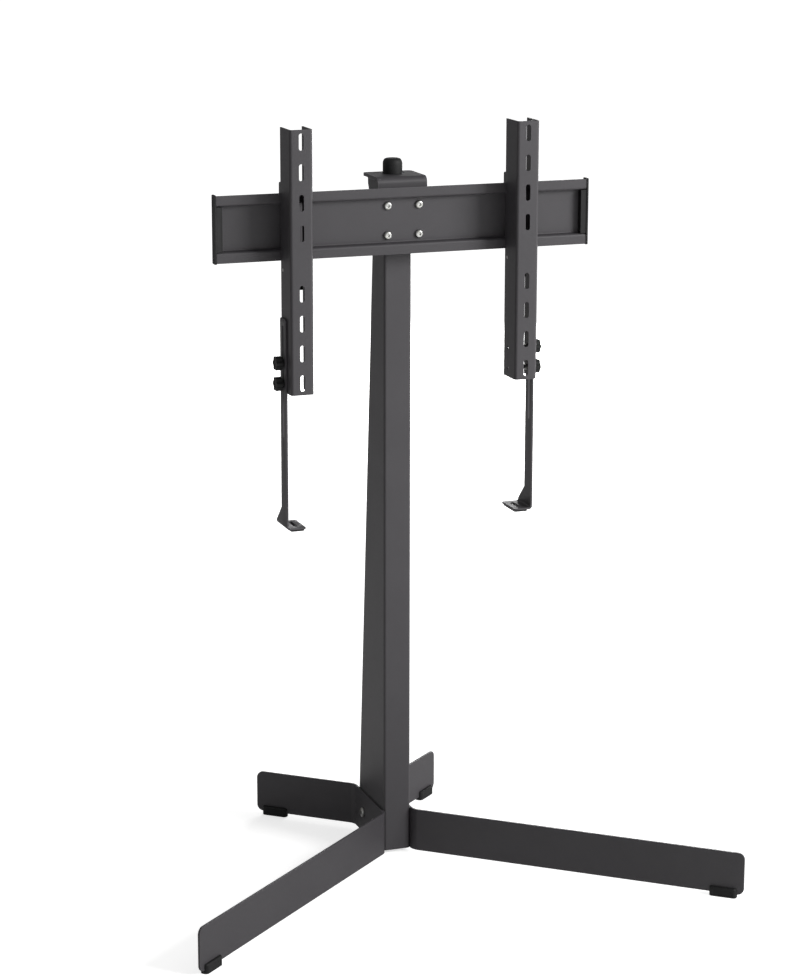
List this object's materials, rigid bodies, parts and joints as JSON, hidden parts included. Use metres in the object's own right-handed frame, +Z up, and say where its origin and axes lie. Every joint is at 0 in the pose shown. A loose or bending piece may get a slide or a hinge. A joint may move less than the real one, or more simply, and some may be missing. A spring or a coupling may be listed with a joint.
{
  "type": "tv stand with mount",
  "caption": "Floor stand for a flat screen: tapered steel column on bent plate legs, with a swivel head, a crossbar, sliding hook-on arms and hanging brackets for a sound bar.",
  "frame": {"origin": "on the floor, under the middle of the whole stand's width and depth", "axes": "+X to the viewer's right when facing the front, +Y to the back, +Z up"},
  "size_m": [0.9694, 0.6876, 1.305],
  "materials": {
    "powder_coat": "satin fine-textured powder coat, dark anthracite",
    "black_plastic": "moulded, fine matt grain",
    "zinc_steel": "bright zinc plate",
    "ground_steel": "turned and lightly oiled",
    "bearing_plastic": "natural bearing plastic, smooth",
    "soft_rubber": "soft, dull"
  },
  "bodies": {
    "stand": {"base_plate_left": "powder_coat", "base_plate_right": "powder_coat", "foot_pad_front_left": "black_plastic", "foot_pad_front_right": "black_plastic", "foot_pad_rear_left": "black_plastic", "foot_pad_rear_right": "black_plastic", "base_bolt_front_left": "zinc_steel", "base_bolt_front_right": "zinc_steel", "base_bolt_rear_left": "zinc_steel", "base_bolt_rear_right": "zinc_steel", "column_shell": "powder_coat", "foot_block": "ground_steel", "cable_cover": "black_plastic", "head_block": "powder_coat", "pivot_pin": "ground_steel", "stop_pin": "ground_steel", "friction_washer": "bearing_plastic", "disc_washer": "zinc_steel", "lock_nut": "zinc_steel", "head_screw_front_left": "zinc_steel", "head_screw_front_right": "zinc_steel", "head_screw_rear_left": "zinc_steel", "head_screw_rear_right": "zinc_steel"},
    "head": {"yoke": "powder_coat", "pivot_bush": "bearing_plastic", "pivot_cap": "black_plastic", "crossbar": "powder_coat", "crossbar_screw_1": "zinc_steel", "crossbar_screw_2": "zinc_steel", "crossbar_screw_3": "zinc_steel", "crossbar_screw_4": "zinc_steel", "crossbar_end_cap_left": "black_plastic", "crossbar_end_cap_right": "black_plastic"},
    "arm_left": {"arm_left": "powder_coat", "latch_pin_left": "zinc_steel", "weld_nut_lower_left": "zinc_steel", "weld_nut_upper_left": "zinc_steel"},
    "arm_right": {"arm_right": "powder_coat", "latch_pin_right": "zinc_steel", "weld_nut_lower_right": "zinc_steel", "weld_nut_upper_right": "zinc_steel"},
    "latch_left": {"latch_left": "black_plastic"},
    "latch_right": {"latch_right": "black_plastic"},
    "bracket_left": {"bar_bracket_left": "powder_coat", "bar_pad_left": "soft_rubber"},
    "bracket_right": {"bar_bracket_right": "powder_coat", "bar_pad_right": "soft_rubber"},
    "knob_lower_left": {"knob_lower_left": "black_plastic"},
    "knob_upper_left": {"knob_upper_left": "black_plastic"},
    "knob_lower_right": {"knob_lower_right": "black_plastic"},
    "knob_upper_right": {"knob_upper_right": "black_plastic"}
  },
  "joints": [
    {"name": "head_swivel", "type": "hinge", "parent": "stand", "child": "head", "pos_m": [0, 0.09069, 1.2069], "axis": [0, 0, 1], "range_deg": [-30, 30]},
    {"name": "arm_slide_left", "type": "slide", "parent": "head", "child": "arm_left", "axis": [-1, 0, 0], "range_m": [-0.1, 0.1]},
    {"name": "arm_slide_right", "type": "slide", "parent": "head", "child": "arm_right", "axis": [1, 0, 0], "range_m": [-0.1, 0.1]},
    {"name": "latch_turn_left", "type": "hinge", "parent": "arm_left", "child": "latch_left", "pos_m": [-0.2, 0.01573, 1.07], "axis": [-1, 0, 0], "range_deg": [0, 60]},
    {"name": "latch_turn_right", "type": "hinge", "parent": "arm_right", "child": "latch_right", "pos_m": [0.2, 0.01573, 1.07], "axis": [-1, 0, 0], "range_deg": [0, 60]},
    {"name": "bracket_slide_left", "type": "slide", "parent": "arm_left", "child": "bracket_left", "axis": [0, 0, 1], "range_m": [-0.06, 0.09]},
    {"name": "bracket_slide_right", "type": "slide", "parent": "arm_right", "child": "bracket_right", "axis": [0, 0, 1], "range_m": [-0.06, 0.09]},
    {"name": "knob_turn_lower_left", "type": "hinge", "parent": "arm_left", "child": "knob_lower_left", "pos_m": [-0.2, 0.00873, 0.88], "axis": [-1, 0, 0], "continuous": true},
    {"name": "knob_turn_upper_left", "type": "hinge", "parent": "arm_left", "child": "knob_upper_left", "pos_m": [-0.2, 0.00873, 0.915], "axis": [-1, 0, 0], "continuous": true},
    {"name": "knob_turn_lower_right", "type": "hinge", "parent": "arm_right", "child": "knob_lower_right", "pos_m": [0.2, 0.00873, 0.88], "axis": [1, 0, 0], "continuous": true},
    {"name": "knob_turn_upper_right", "type": "hinge", "parent": "arm_right", "child": "knob_upper_right", "pos_m": [0.2, 0.00873, 0.915], "axis": [1, 0, 0], "continuous": true}
  ]
}
